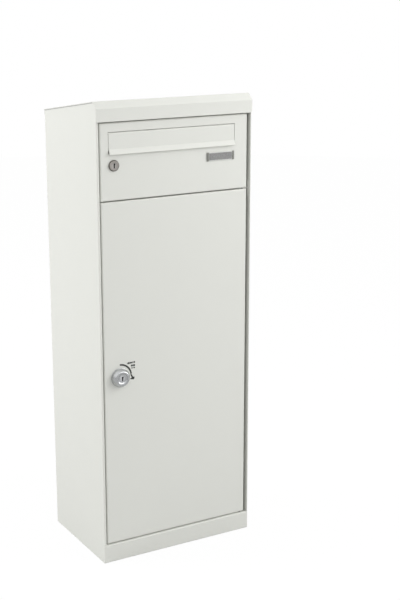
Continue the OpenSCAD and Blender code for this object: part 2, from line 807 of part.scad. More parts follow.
// Hat-section stiffener down the middle of the lower door
module lower_door_stiffener() color(coat) {
  y0 = door_front + sheet_t + seam;
  foot_y = y0 + sheet_t;
  crown_y = door_back - hat_gap;
  upright(lower_door_z + hat_end, lower_door_top - hat_end)
    fold([[hat_w / 2, foot_y], [hat_w / 4, foot_y], [hat_crown_w / 2, crown_y], [-hat_crown_w / 2, crown_y],
          [-hat_w / 4, foot_y], [-hat_w / 2, foot_y]]);
}

module knob_rose() color(steel)
  facing([knob_x, door_front - rose_t, knob_z])
    rotate_extrude()
      polygon(concat([[knob_barrel_d / 2 + fit, 0]],
                     quarter([rose_d / 2 - rose_round, rose_round], rose_round),
                     [[rose_d / 2, rose_t - seam], [knob_barrel_d / 2 + fit, rose_t - seam]]));

module knob_lock_body() color(steel)
  facing([knob_x, door_front, knob_z])
    rotate_extrude()
      polygon([[spindle_d / 2 + fit, -rose_t], [knob_barrel_d / 2, -rose_t],
               [knob_barrel_d / 2, barrel_end], [spindle_d / 2 + fit, barrel_end]]);

module knob_lock_nut() color(steel)
  hex_nut([knob_x, door_front + sheet_t + seam, knob_z], knob_nut_af, knob_barrel_d, lock_nut_t);

// The knob: a turned grip with a dish round the key plug, and the spindle behind it
module knob() color(steel) {
  back = cam_y + cam_t - door_front;
  bore = knob_plug_d / 2 + fit;
  skirt = -rose_t - knob_play;
  lip = knob_dish_d / 2;
  dish_r = bore + 0.4;
  facing([knob_x, door_front, knob_z])
    rotate_extrude()
      polygon(concat(
        [[0, knob_plug_back + knob_play], [bore, knob_plug_back + knob_play], [bore, -knob_h + knob_dish_h]],
        [for (i = [0:bend_steps])
          let(a = 90 * i / bend_steps)
          [dish_r + (lip - dish_r) * sin(a), -knob_h + knob_dish_h * cos(a) + knob_lip_h * (1 - cos(a))]],
        quarter([knob_face_d / 2 - knob_edge_r, -knob_h + knob_edge_r], knob_edge_r),
        quarter([knob_d / 2 - knob_edge_r, -knob_h / 2 + knob_edge_r], knob_edge_r),
        [[knob_d / 2, skirt - knob_edge_r / 2], [knob_d / 2 - knob_edge_r / 2, skirt],
         [spindle_d / 2, skirt], [spindle_d / 2, back - cam_t - seam],
         [cam_spigot_d / 2, back - cam_t - seam], [cam_spigot_d / 2, back], [0, back]]));
}

module knob_cam() color(steel) cam(knob_x, knob_z, knob_reach);
module knob_cam_screw() color(steel) cam_screw(knob_x, knob_z);

module knob_plug() color(steel)
  difference() {
    front = knob_h - knob_plug_set;
    facing([knob_x, door_front, knob_z])
      rotate_extrude()
        polygon([[0, -front], [knob_plug_d / 2 - plug_chamfer, -front],
                 [knob_plug_d / 2, -front + plug_chamfer],
                 [knob_plug_d / 2, knob_plug_back], [0, knob_plug_back]]);
    keyway([knob_x, door_front, knob_z], front);
  }

left_side_panel();
right_side_panel();
back_panel();
floor_tray();
plinth();
roof_cap();
top_rail();
divider_shelf();
lock_jamb();
lock_stop();
hinge_stile();
mid_hinge_bracket();
hinge_pins();
bottom_washer();
door_buffers();
upper_door();
upper_door_bushes();
letter_guard();
flap_rod();
flap_brackets();
upper_lock_body();
upper_lock_nut();
name_plate_frame();
name_plate_card();
letter_flap();
upper_lock_plug();
upper_lock_cam();
upper_cam_screw();
lower_door();
lower_door_stiffener();
lower_door_bushes();
knob_rose();
knob_lock_body();
knob_lock_nut();
knob();
knob_cam();
knob_cam_screw();
knob_plug();
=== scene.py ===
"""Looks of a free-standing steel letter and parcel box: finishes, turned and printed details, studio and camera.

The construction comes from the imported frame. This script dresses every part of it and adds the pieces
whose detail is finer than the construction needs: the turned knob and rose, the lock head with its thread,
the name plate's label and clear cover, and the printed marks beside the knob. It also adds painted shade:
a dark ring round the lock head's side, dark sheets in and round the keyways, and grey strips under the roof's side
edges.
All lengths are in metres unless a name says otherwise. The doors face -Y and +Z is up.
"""

import json
import logging
import math
from dataclasses import dataclass, field
from enum import Enum
from typing import Iterable, Optional, Sequence

import bmesh
import bpy
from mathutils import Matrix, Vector

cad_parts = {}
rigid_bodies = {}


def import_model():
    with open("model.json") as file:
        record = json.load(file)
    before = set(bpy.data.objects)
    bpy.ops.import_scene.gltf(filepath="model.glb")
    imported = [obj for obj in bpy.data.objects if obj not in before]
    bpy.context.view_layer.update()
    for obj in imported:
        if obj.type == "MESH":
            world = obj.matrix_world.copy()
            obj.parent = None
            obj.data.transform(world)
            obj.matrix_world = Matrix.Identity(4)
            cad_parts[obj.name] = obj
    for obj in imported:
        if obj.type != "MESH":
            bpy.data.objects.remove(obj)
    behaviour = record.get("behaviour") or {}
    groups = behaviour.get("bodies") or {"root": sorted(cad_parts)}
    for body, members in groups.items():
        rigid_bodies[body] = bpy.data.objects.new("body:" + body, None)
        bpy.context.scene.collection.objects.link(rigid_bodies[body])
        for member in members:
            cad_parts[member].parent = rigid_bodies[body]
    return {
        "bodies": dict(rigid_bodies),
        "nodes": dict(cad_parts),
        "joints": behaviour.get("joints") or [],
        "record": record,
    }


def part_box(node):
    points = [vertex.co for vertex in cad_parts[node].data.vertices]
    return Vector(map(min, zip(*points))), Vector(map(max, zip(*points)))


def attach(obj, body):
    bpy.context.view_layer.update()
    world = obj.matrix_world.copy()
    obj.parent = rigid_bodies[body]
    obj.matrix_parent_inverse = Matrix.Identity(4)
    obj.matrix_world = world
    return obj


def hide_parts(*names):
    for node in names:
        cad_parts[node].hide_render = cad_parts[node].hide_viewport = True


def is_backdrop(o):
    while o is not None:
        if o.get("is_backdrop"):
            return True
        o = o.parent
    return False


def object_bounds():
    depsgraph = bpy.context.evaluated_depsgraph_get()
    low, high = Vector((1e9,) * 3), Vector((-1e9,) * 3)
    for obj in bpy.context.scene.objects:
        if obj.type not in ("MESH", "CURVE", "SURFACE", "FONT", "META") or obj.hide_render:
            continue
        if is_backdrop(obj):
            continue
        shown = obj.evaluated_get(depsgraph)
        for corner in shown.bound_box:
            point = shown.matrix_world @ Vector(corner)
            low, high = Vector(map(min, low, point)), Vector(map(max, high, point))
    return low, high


MM = 0.001
WELD = 0.002 * MM
LOG = logging.getLogger("parcel_box")


class Body(str, Enum):
    """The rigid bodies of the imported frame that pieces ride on."""

    HOUSING = "housing"
    UPPER_DOOR = "upper_door"
    LOWER_DOOR = "lower_door"
    UPPER_LOCK = "upper_lock"
    KNOB = "knob"
    KNOB_PLUG = "knob_plug"


class Slot(str, Enum):
    """The record's material slots that new pieces take their finish from."""

    SATIN_CHROME = "satin_chrome"
    NICKEL = "nickel_plate"
    PLATE_FRAME = "plate_frame"
    NAME_CARD = "name_card"
    PRINT = "rubber"


def linear(hex_colour: str) -> tuple[float, float, float, float]:
    """Turns an sRGB hex colour into linear light.

    Args:
        hex_colour: Six hex digits with a leading hash.

    Returns:
        Red, green, blue and an alpha of 1.
    """
    channels = (int(hex_colour[i:i + 2], 16) / 255 for i in (1, 3, 5))
    curve = [c / 12.92 if c <= 0.04045 else ((c + 0.055) / 1.055) ** 2.4 for c in channels]
    return (*curve, 1.0)


# ---- Materials ----


def add_node(tree: bpy.types.NodeTree, kind: str, links: Optional[dict] = None, **settings) -> bpy.types.Node:
    """Adds one shader node with its settings and links.

    Args:
        tree: The node tree.
        kind: The node's type name without the ShaderNode prefix.
        links: Input name or index to the output socket that feeds it, or to a constant.
        **settings: Attributes of the node.

    Returns:
        The new node.
    """
    node = tree.nodes.new("ShaderNode" + kind)
    for name, value in settings.items():
        setattr(node, name, value)
    for name, value in (links or {}).items():
        if isinstance(value, bpy.types.NodeSocket):
            tree.links.new(value, node.inputs[name])
        else:
            node.inputs[name].default_value = value
    return node


def new_material(name: str) -> tuple[bpy.types.Material, bpy.types.NodeTree, bpy.types.Node]:
    """Makes an empty node material.

    Args:
        name: The finish's name.

    Returns:
        The material, its tree and its Principled shader, already linked to the output.
    """
    material = bpy.data.materials.new(name)
    material.use_nodes = True
    tree = material.node_tree
    tree.nodes.clear()
    shader = add_node(tree, "BsdfPrincipled")
    add_node(tree, "OutputMaterial", {"Surface": shader.outputs["BSDF"]})
    return material, tree, shader


def mottle(tree: bpy.types.NodeTree, base: str, spread: float, size_mm: float) -> bpy.types.NodeSocket:
    """Varies a colour slightly in soft patches.

    Args:
        tree: The node tree.
        base: The sRGB hex colour.
        spread: Half the change in brightness between the darkest and the palest patch.
        size_mm: Width of a patch.

    Returns:
        The colour output.
    """
    place = add_node(tree, "TexCoord")
    noise = add_node(tree, "TexNoise", {"Vector": place.outputs["Object"], "Scale": 1 / (size_mm * MM), "Detail": 2.0})
    colour = linear(base)
    ramp = add_node(tree, "ValToRGB", {"Fac": noise.outputs["Fac"]})
    for stop, factor in zip(ramp.color_ramp.elements, (1 - spread, 1 + spread)):
        stop.color = (*(min(1.0, c * factor) for c in colour[:3]), 1.0)
    return ramp.outputs["Color"]


def grain(tree: bpy.types.NodeTree, size_mm: float, depth_mm: float, strength: float) -> bpy.types.NodeSocket:
    """Roughens a surface with a fine random relief.

    Args:
        tree: The node tree.
        size_mm: Distance between the crests.
        depth_mm: Height of the relief.
        strength: Share of the relief that the normal follows.

    Returns:
        The normal output.
    """
    place = add_node(tree, "TexCoord")
    noise = add_node(tree, "TexNoise", {"Vector": place.outputs["Object"], "Scale": 1 / (size_mm * MM), "Detail": 3.0})
    bump = add_node(tree, "Bump", {"Height": noise.outputs["Fac"], "Distance": depth_mm * MM, "Strength": strength})
    return bump.outputs["Normal"]


@dataclass(frozen=True)
class PowderCoat:
    """Polyester powder coat baked on steel: a satin skin with a fine orange peel."""

    name: str = "powder_coated_steel"
    colour: str = "#dcddd7"
    roughness: float = 0.42
    peel_mm: float = 1.6
    peel_depth_mm: float = 0.02

    def material(self) -> bpy.types.Material:
        """Builds the material and returns it."""
        material, tree, shader = new_material(self.name)
        # A baked coat flows out before it sets, which leaves soft dimples and no brush or spray marks.
        shader.inputs["Roughness"].default_value = self.roughness
        shader.inputs["IOR"].default_value = 1.5
        tree.links.new(mottle(tree, self.colour, spread=0.008, size_mm=60.0), shader.inputs["Base Color"])
        tree.links.new(grain(tree, self.peel_mm, self.peel_depth_mm, strength=0.35), shader.inputs["Normal"])
        return material


@dataclass(frozen=True)
class Plating:
    """Metal plated on a turned, pressed or rolled part."""

    name: str
    colour: str
    roughness: float
    grain_mm: float = 0.6
    grain_depth_mm: float = 0.01

    def material(self) -> bpy.types.Material:
        """Builds the material and returns it."""
        material, tree, shader = new_material(self.name)
        # Plating follows the metal under it, so faint tool marks break up the reflections.
        shader.inputs["Metallic"].default_value = 1.0
        shader.inputs["Roughness"].default_value = self.roughness
        tree.links.new(mottle(tree, self.colour, spread=0.03, size_mm=4.0), shader.inputs["Base Color"])
        tree.links.new(grain(tree, self.grain_mm, self.grain_depth_mm, strength=0.3), shader.inputs["Normal"])
        return material


@dataclass(frozen=True)
class TurnedPlating:
    """Plating on a part turned in a lathe, with the fine rings that the tool leaves round the axis."""

    name: str
    colour: str
    roughness: float
    axis: tuple[float, float, float]
    ring_mm: float = 0.5
    ring_depth_mm: float = 0.012

    def material(self) -> bpy.types.Material:
        """Builds the material and returns it."""
        material, tree, shader = new_material(self.name)
        # The real rings are about 0.1 mm apart; they are drawn wider so that they show at arm's length.
        shader.inputs["Metallic"].default_value = 1.0
        shader.inputs["Roughness"].default_value = self.roughness
        place = add_node(tree, "TexCoord")
        centred = add_node(tree, "Mapping", {"Vector": place.outputs["Object"], "Location": [-c for c in self.axis]})
        flat = add_node(tree, "VectorMath", {0: centred.outputs["Vector"], 1: (1.0, 0.0, 1.0)}, operation="MULTIPLY")
        radius = add_node(tree, "VectorMath", {0: flat.outputs["Vector"]}, operation="LENGTH")
        per_ring = math.tau / (self.ring_mm * MM)
        turns = add_node(tree, "Math", {0: radius.outputs["Value"], 1: per_ring}, operation="MULTIPLY")
        rings = add_node(tree, "Math", {0: turns.outputs["Value"]}, operation="SINE")
        bump = add_node(tree, "Bump", {"Height": rings.outputs["Value"], "Distance": self.ring_depth_mm * MM,
                                       "Strength": 0.25})
        tree.links.new(mottle(tree, self.colour, spread=0.02, size_mm=6.0), shader.inputs["Base Color"])
        tree.links.new(bump.outputs["Normal"], shader.inputs["Normal"])
        return material


@dataclass(frozen=True)
class Moulding:
    """Moulded plastic or rubber, printed ink or card: a matt skin with a fine grain."""

    name: str
    colour: str
    roughness: float
    grain_mm: float = 0.5
    grain_depth_mm: float = 0.02
    ior: float = 1.5

    def material(self) -> bpy.types.Material:
        """Builds the material and returns it."""
        material, tree, shader = new_material(self.name)
        # A mould leaves an even, slightly spark-eroded skin that scatters the light.
        shader.inputs["Roughness"].default_value = self.roughness
        shader.inputs["IOR"].default_value = self.ior
        tree.links.new(mottle(tree, self.colour, spread=0.03, size_mm=3.0), shader.inputs["Base Color"])
        tree.links.new(grain(tree, self.grain_mm, self.grain_depth_mm, strength=0.4), shader.inputs["Normal"])
        return material


@dataclass(frozen=True)
class ClearCover:
    """A clear acrylic window, thin enough to show what lies under it."""

    name: str = "clear_acrylic"
    colour: str = "#f2f4f3"
    roughness: float = 0.06
    alpha: float = 0.1

    def material(self) -> bpy.types.Material:
        """Builds the material and returns it."""
        material, tree, shader = new_material(self.name)
        # Extruded acrylic is clear and glossy, with a slight haze from handling.
        shader.inputs["Roughness"].default_value = self.roughness
        shader.inputs["IOR"].default_value = 1.49
        shader.inputs["Alpha"].default_value = self.alpha
        tree.links.new(mottle(tree, self.colour, spread=0.01, size_mm=8.0), shader.inputs["Base Color"])
        return material


# ---- Mesh helpers ----


def piece_from(name: str, bm: bmesh.types.BMesh, material: bpy.types.Material,
               smooth_deg: float = 35.0) -> bpy.types.Object:
    """Turns a finished bmesh into an object with one material.

    Args:
        name: The piece's name.
        bm: The mesh, in the frame's own place. It is freed.
        material: The finish.
        smooth_deg: Edges sharper than this stay sharp.

    Returns:
        The new object, at the origin, unturned and unscaled.
    """
    bmesh.ops.remove_doubles(bm, verts=bm.verts[:], dist=WELD)
    bmesh.ops.recalc_face_normals(bm, faces=bm.faces[:])
    for edge in bm.edges:
        edge.smooth = len(edge.link_faces) == 2 and edge.calc_face_angle(0.0) < math.radians(smooth_deg)
    for face in bm.faces:
        face.smooth = True
    mesh = bpy.data.meshes.new(name)
    bm.to_mesh(mesh)
    bm.free()
    mesh.materials.append(material)
    thing = bpy.data.objects.new(name, mesh)
    bpy.context.scene.collection.objects.link(thing)
    return thing


def arc(centre: tuple[float, float], radius: float, start: float, end: float,
        steps: int = 6) -> list[tuple[float, float]]:
    """Points along an arc in a lathe profile.

    Args:
        centre: The arc's centre, as (radius, depth).
        radius: The arc's own radius.
        start: The first point's angle in degrees, from the outward direction towards the back.
        end: The last point's angle in degrees.
        steps: The number of straight steps.

    Returns:
        The points, as (radius, depth).
    """
    turns = [math.radians(start + (end - start) * i / steps) for i in range(steps + 1)]
    return [(centre[0] + radius * math.cos(a), centre[1] + radius * math.sin(a)) for a in turns]


def lathe(profile: Sequence[tuple[float, float]], at: Vector, closed: bool = False,
          steps: int = 96) -> bmesh.types.BMesh:
    """Spins a profile round an axis along +Y.

    Args:
        profile: Points as (radius, depth) in millimetres, depth measured backwards from the point at.
        at: The point on the axis that depths are measured from.
        closed: Whether the profile's last point joins its first, as on a ring.
        steps: The number of steps in the full turn.

    Returns:
        The spun mesh.
    """
    bm = bmesh.new()
    verts = [bm.verts.new((at.x + r * MM, at.y + d * MM, at.z)) for r, d in profile]
    pairs = list(zip(verts, verts[1:])) + ([(verts[-1], verts[0])] if closed else [])
    edges = [bm.edges.new(pair) for pair in pairs]
    bmesh.ops.spin(bm, geom=verts + edges, cent=at, axis=(0.0, 1.0, 0.0), angle=math.tau, steps=steps, use_merge=True)
    bmesh.ops.remove_doubles(bm, verts=bm.verts[:], dist=WELD)
    return bm


def slab(outline: Sequence[tuple[float, float]], y_front: float, thickness: float) -> bmesh.types.BMesh:
    """Extrudes a flat outline backwards.

    Args:
        outline: Corner points as (x, z) in metres.
        y_front: The y of the front face.
        thickness: How far it goes back.

    Returns:
        The closed plate.
    """
    bm = bmesh.new()
    face = bm.faces.new([bm.verts.new((x, y_front, z)) for x, z in outline])
    grown = bmesh.ops.extrude_face_region(bm, geom=[face], use_keep_orig=True)
    moved = [v for v in grown["geom"] if isinstance(v, bmesh.types.BMVert)]
    bmesh.ops.translate(bm, verts=moved, vec=(0.0, thickness, 0.0))
    return bm


def rectangle(x0: float, x1: float, z0: float, z1: float) -> list[tuple[float, float]]:
    """Corner points of a rectangle, as (x, z)."""
    return [(x0, z0), (x1, z0), (x1, z1), (x0, z1)]


def join(target: bmesh.types.BMesh, other: bmesh.types.BMesh) -> None:
    """Adds another mesh to the target and frees it."""
    loose = bpy.data.meshes.new("loose")
    other.to_mesh(loose)
    other.free()
    target.from_mesh(loose)
    bpy.data.meshes.remove(loose)


def frame_of(outer: Sequence[float], inner: Sequence[float], y_front: float, thickness: float) -> bmesh.types.BMesh:
    """Extrudes the border between two rectangles backwards.

    Args:
        outer: The outer rectangle as (x0, x1, z0, z1) in metres.
        inner: The opening as (x0, x1, z0, z1) in metres.
        y_front: The y of the front face.
        thickness: How far it goes back.

    Returns:
        The closed border.
    """
    bm = bmesh.new()
    rings = []
    for y in (y_front, y_front + thickness):
        for x0, x1, z0, z1 in (outer, inner):
            rings.append([bm.verts.new((x, y, z)) for x, z in rectangle(x0, x1, z0, z1)])
    front_out, front_in, back_out, back_in = rings
    for a, b in ((front_out, front_in), (back_in, back_out), (back_out, front_out), (front_in, back_in)):
        for i in range(4):
            bm.faces.new((a[i], a[i - 1], b[i - 1], b[i]))
    return bm


def bevelled(bm: bmesh.types.BMesh, width_mm: float, segments: int = 2) -> bmesh.types.BMesh:
    """Rounds every edge of a plain mesh.

    Args:
        bm: The mesh.
        width_mm: Width of the rounding.
        segments: The number of steps across it.

    Returns:
        The same mesh.
    """
    bmesh.ops.recalc_face_normals(bm, faces=bm.faces[:])
    sharp = [e for e in bm.edges if len(e.link_faces) == 2 and e.calc_face_angle(0.0) > math.radians(30.0)]
    bmesh.ops.bevel(bm, geom=sharp, offset=width_mm * MM, segments=segments, profile=0.5, affect="EDGES")
    return bm


# ---- Sub-assemblies ----


@dataclass
class Palette:
    """One material for every slot of the record."""

    slots: dict[str, bpy.types.Material] = field(default_factory=dict)

    def build(self) -> "Palette":
        """Makes the slots' materials and returns the palette."""
        finishes = {
            "powder_coat": PowderCoat(),
            "zinc_plate": Plating("bright_zinc_plate", "#a9abad", 0.34),
            "nickel_plate": Plating("satin_nickel_plate", "#c6c3bf", 0.32),
            "satin_chrome": Plating("satin_chrome_plate", "#d0d2d4", 0.24),
            "rubber": Moulding("black_rubber", "#1d1d1c", 0.75),
            "nylon": Moulding("black_nylon", "#262626", 0.55),
            "plate_frame": Moulding("olive_grey_abs", "#80817b", 0.5),
            "name_card": Moulding("grey_card", "#6d6c6b", 0.75, grain_mm=0.3, grain_depth_mm=0.008),
        }
        self.slots = {name: finish.material() for name, finish in finishes.items()}
        return self

    def dress(self, frame: dict) -> None:
        """Gives every CAD node its slot's material.
        """
        for part in frame["record"]["subparts"]:
            node = frame["nodes"][part["node"]]
            node.data.materials.clear()
            node.data.materials.append(self.slots[part["material_slot"]])


@dataclass(frozen=True)
class Axis:
    """The axis of a turned part, running along +Y from the face of its door."""

    x: float
    y: float
    z: float

    @property
    def at(self) -> Vector:
        """The point where the axis meets the door face."""
        return Vector((self.x, self.y, self.z))


def axis_of(node: str, door: str) -> Axis:
    """Finds a turned node's axis.

    Args:
        node: The turned CAD node.
        door: The CAD node of the door that it sits in.

    Returns:
        The axis.
    """
    low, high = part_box(node)
    return Axis((low.x + high.x) / 2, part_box(door)[0].y, (low.z + high.z) / 2)


@dataclass
class KnobLock:
    """The parcel door's knob: a turned grip with a dish round its key plug, on a pressed rose. Sizes are in mm."""

    axis: Axis
    bore: float = 6.58
    bore_end: float = 8.4
    land: float = 0.4
    lip: float = 11.5
    lip_round: float = 0.4
    dish: float = 2.4
    dish_edge: float = 0.2
    face: float = 17.4
    shoulder: float = 3.0
    skirt: float = 20.3
    skirt_top: float = 6.6
    skirt_round: float = 1.6
    skirt_foot: float = 2.0
    groove: float = 0.25
    height: float = 14.0
    spindle: float = 9.0
    tail: float = 4.0
    tail_length: float = 2.6
    rose: float = 21.0
    rose_bore: float = 11.08
    rose_top: float = 1.6
    rose_seat: float = 0.1
    rose_round: float = 1.0

    def grip(self, back: float) -> list[tuple[float, float]]:
        """The grip's and spindle's profile as (radius, depth) in millimetres.

        Args:
            back: Depth of the spindle's end.

        Returns:
            The points from the plug's bore round the outside to the spindle's end.
        """
        h = self.height
        turns = [math.radians(90 * i / 12) for i in range(13)]
        foot = self.bore + self.land
        dish = [(foot + (self.lip - foot) * math.sin(a),
                 self.dish * math.cos(a) + self.dish_edge * (1 - math.cos(a)) - h) for a in turns]
        waist, step = self.skirt - self.groove, back - self.tail_length
        return [
            (0.0, self.bore_end), (self.bore, self.bore_end), (self.bore, self.dish - h), *dish,
            *arc((self.lip + self.lip_round, self.lip_round - h), self.lip_round, 215, 270, 3),
            *arc((self.face - self.shoulder, self.shoulder - h), self.shoulder, 272, 330, 8),
            *arc((self.skirt - self.skirt_round, -self.skirt_top), self.skirt_round, 330, 360, 4),
            (self.skirt, -3.4), (waist, -3.2), (waist, -2.9), (self.skirt, -2.7), (self.skirt, -2.4),
            (self.skirt - 0.4, -self.skirt_foot), (self.spindle, -self.skirt_foot), (self.spindle, step),
            (self.tail, step), (self.tail, back), (0.0, back),
        ]

    def build(self) -> list[bpy.types.Object]:
        """Makes the grip and the rose and returns them."""
        at = self.axis.at
        chrome = TurnedPlating("turned_satin_chrome", "#bcbebf", 0.2, tuple(at)).material()
        back = (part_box("knob")[1].y - at.y) / MM
        grip = piece_from("turned_grip", lathe(self.grip(back), at), chrome)
        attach(grip, Body.KNOB.value)
        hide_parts("knob")
        ring = [
            (self.rose_bore, -self.rose_seat), (self.rose_bore, -self.rose_top),
            (self.rose_bore + 0.6, -self.rose_top),
            *arc((self.rose - self.rose_round, self.rose_round - self.rose_top), self.rose_round, 272, 360, 6),
            (self.rose, -self.rose_seat),
        ]
        rose = piece_from("pressed_rose", lathe(ring, at, closed=True), chrome)
        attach(rose, Body.LOWER_DOOR.value)
        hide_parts("knob_rose")
        return [grip, rose]


@dataclass
class LetterLock:
    """The letter door's cam lock: a domed head, a dark ring round it that is painted shade of the head's side, and a
    threaded barrel. Sizes are in mm.
    """

    axis: Axis
    bore: float = 6.08
    head: float = 11.5
    height: float = 4.0
    seat: float = 0.1
    collar: float = 11.1
    collar_top: float = 2.7
    collar_round: float = 0.6
    rim_round: float = 0.9
    barrel: float = 9.3
    pitch: float = 1.0
    thread_depth: float = 0.55
    thread_start: float = 1.4

    def profile(self, back: float) -> list[tuple[float, float]]:
        """The head's and barrel's closed profile as (radius, depth) in millimetres.

        Args:
            back: Depth of the barrel's end.

        Returns:
            The points round the section.
        """
        h, root = self.height, self.barrel - self.thread_depth
        points = [(self.bore, back), (self.bore, 0.6 - h), *arc((self.bore + 0.7, 0.55 - h), 0.5, 190, 265, 4)]
        points += arc((self.head - 2.3, self.rim_round - h), self.rim_round, 275, 322, 4)
        points += arc((self.collar - self.collar_round, -0.9), self.collar_round, 335, 360, 3)
        points += [(self.collar, -self.seat), (self.barrel, -self.seat), (self.barrel, self.thread_start - 0.2)]
        turns = int((back - 2.0) / self.pitch)
        for i in range(turns):
            start = self.thread_start + i * self.pitch
            points += [(root, start + 0.38 * self.pitch), (self.barrel, start + 0.88 * self.pitch)]
        return points + [(root, back - 0.3), (root - 0.3, back)]

    def build(self) -> list[bpy.types.Object]:
        """Makes the head with its barrel and the dark ring of painted shade round it, and returns them."""
        at = self.axis.at
        nickel = TurnedPlating("turned_nickel_plate", "#b6b1ac", 0.3, tuple(at), ring_mm=0.6).material()
        back = (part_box("upper_lock_body")[1].y - at.y) / MM
        lock = piece_from("threaded_lock_body", lathe(self.profile(back), at, closed=True), nickel, smooth_deg=30.0)
        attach(lock, Body.UPPER_DOOR.value)
        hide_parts("upper_lock_body")
        inner = self.collar + 0.05
        ring = [(inner, -self.seat), (inner, -self.collar_top), (self.head - 0.15, -self.collar_top),
                (self.head, 0.2 - self.collar_top), (self.head, -self.seat)]
        # The dark ring is painted shade: it darkens the head's side, where shade falls on the left and below.
        side_shade = Plating("lock_side_painted_shade", "#77736e", 0.4).material()
        collar = piece_from("lock_collar", lathe(ring, at, closed=True), side_shade)
        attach(collar, Body.UPPER_DOOR.value)
        return [lock, collar]


@dataclass
class RoofSeamShade:
    """Grey strips under the roof's side edges, painted shade of the seam where the roof sheet laps the side panels."""

    proud_mm: float = 0.6
    tall_mm: float = 1.5
    rear_reach_mm: float = 3.0
    panels: tuple[str, ...] = ("left_side_panel", "right_side_panel")

    def build(self) -> list[bpy.types.Object]:
        """Makes both strips of painted shade as one piece and returns it."""
        shade_strips = bmesh.new()
        for panel in self.panels:
            low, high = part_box(panel)
            node = bpy.data.objects[panel]
            corners = [node.matrix_world @ v.co for v in node.data.vertices]
            ridge = max(corners, key=lambda p: p.z)
            rear = max((p for p in corners if p.y > high.y - self.rear_reach_mm * MM), key=lambda p: p.z)
            side = -1 if low.x < 0 else 1
            face = low.x if side < 0 else high.x
            section = ((ridge, 0.0), (rear, 0.0), (rear, self.tall_mm), (ridge, self.tall_mm))
            rings = []
            for x in (face, face + side * self.proud_mm * MM):
                rings.append([shade_strips.verts.new((x, p.y, p.z - drop * MM)) for p, drop in section])
            shade_strips.faces.new(rings[0])
            shade_strips.faces.new(list(reversed(rings[1])))
            for i in range(4):
                shade_strips.faces.new((rings[0][i], rings[0][i - 1], rings[1][i - 1], rings[1][i]))
        bmesh.ops.recalc_face_normals(shade_strips, faces=shade_strips.faces)
        # The grey colour is painted shade: it stands in for the shadow line under the roof sheet's side edge.
        seam_shade = Moulding("roof_seam_painted_shade", "#a9a9a6", 0.6).material()
        piece = piece_from("roof_edge_beads", shade_strips, seam_shade)
        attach(piece, Body.HOUSING.value)
        return [piece]


@dataclass
class KeySlot:
    """Painted shade in a keyway: a dark sheet just under a key plug's face, and a dark film round the keyway and beside
    its ward.
    """

    plug: str
    body: Body
    width_mm: float = 2.5
    height_mm: float = 9.7
    ward_mm: tuple[float, float] = (3.4, 3.6)
    ward_shift_mm: float = 0.55
    ward_shade_mm: float = 1.1
    sink_mm: float = 0.2
    thickness_mm: float = 0.4
    shade_rim_mm: float = 0.3
    film_mm: float = 0.02

    def build(self) -> list[bpy.types.Object]:
        """Makes the dark sheets of painted shade as one piece and returns it."""
        low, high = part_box(self.plug)
        x, z = (low.x + high.x) / 2, (low.z + high.z) / 2
        wide, half = self.width_mm / 2 * MM, self.height_mm / 2 * MM
        middle, ward_wide = x + self.ward_shift_mm * MM, self.ward_mm[0] / 2 * MM
        ward_low = z + half - self.ward_mm[1] * MM
        blade = rectangle(x - wide, x + wide, z - half, z + half)
        ward = rectangle(middle - ward_wide, middle + ward_wide, ward_low, z + half)
        keyway_shade = bmesh.new()
        for outline in (blade, ward):
            join(keyway_shade, slab(outline, low.y + self.sink_mm * MM, self.thickness_mm * MM))
        rim, film = self.shade_rim_mm * MM, self.film_mm * MM
        outside = (x - wide - rim / 2, x + wide + rim / 2, z - half - rim / 2, z + half + rim / 2)
        inside = (x - wide + rim, x + wide - rim, z - half + rim, z + half - rim)
        join(keyway_shade, frame_of(outside, inside, low.y - film, film))
        notch = rectangle(x + wide, x + wide + self.ward_shade_mm * MM, ward_low, z + half - rim)
        join(keyway_shade, slab(notch, low.y - film, film))
        # The dark colour is painted shade: it stands in for the shade deep in the keyway and on its edges.
        steel = Plating("keyway_painted_shade", "#3b3a3a", 0.5).material()
        piece = piece_from(f"{self.plug}_shutter", keyway_shade, steel)
        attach(piece, self.body.value)
        return [piece]


@dataclass
class NamePlate:
    """The name plate: a pale rim, two end caps, a grey label and a clear cover over it."""

    palette: Palette
    end_mm: float = 5.0
    end_round_mm: float = 0.6
    rim_mm: float = 1.6
    rim_round_mm: float = 0.25
    rim_inset_mm: float = 0.5
    rim_sink_mm: float = 0.3
    cover_mm: float = 0.4
    cover_gap_mm: float = 0.02

    def build(self) -> list[bpy.types.Object]:
        """Makes the rim, the end caps, the label and the cover and returns them."""
        low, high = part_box("name_plate_frame")
        end, rim = self.end_mm * MM, self.rim_mm * MM
        inset, sink = self.rim_inset_mm * MM, self.rim_sink_mm * MM
        inside = (low.x + end, high.x - end, low.z + rim, high.z - rim)
        outside = (low.x + end / 2, high.x - end / 2, low.z + inset, high.z - inset)
        depth = high.y - low.y
        border = bevelled(frame_of(outside, inside, low.y + sink, depth - sink), self.rim_round_mm)
        rim_piece = piece_from("plate_rim", border, Moulding("pale_grey_abs", "#dcddda", 0.35).material())
        caps = bmesh.new()
        for x0, x1 in ((low.x, low.x + end), (high.x - end, high.x)):
            join(caps, bevelled(slab(rectangle(x0, x1, low.z, high.z), low.y, depth), self.end_round_mm, segments=3))
        cap_piece = piece_from("plate_end_caps", caps, self.palette.slots["plate_frame"])
        card_low, card_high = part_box("name_plate_card")
        label = slab(rectangle(card_low.x, card_high.x, card_low.z, card_high.z), card_low.y, card_high.y - card_low.y)
        label_piece = piece_from("blank_label", label, self.palette.slots["name_card"])
        cover_front = card_low.y - (self.cover_mm + self.cover_gap_mm) * MM
        cover = slab(rectangle(*inside), cover_front, self.cover_mm * MM)
        cover_piece = piece_from("label_cover", cover, ClearCover().material())
        made = [rim_piece, cap_piece, label_piece, cover_piece]
        for piece in made:
            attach(piece, Body.UPPER_DOOR.value)
        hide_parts("name_plate_frame")
        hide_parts("name_plate_card")
        return made


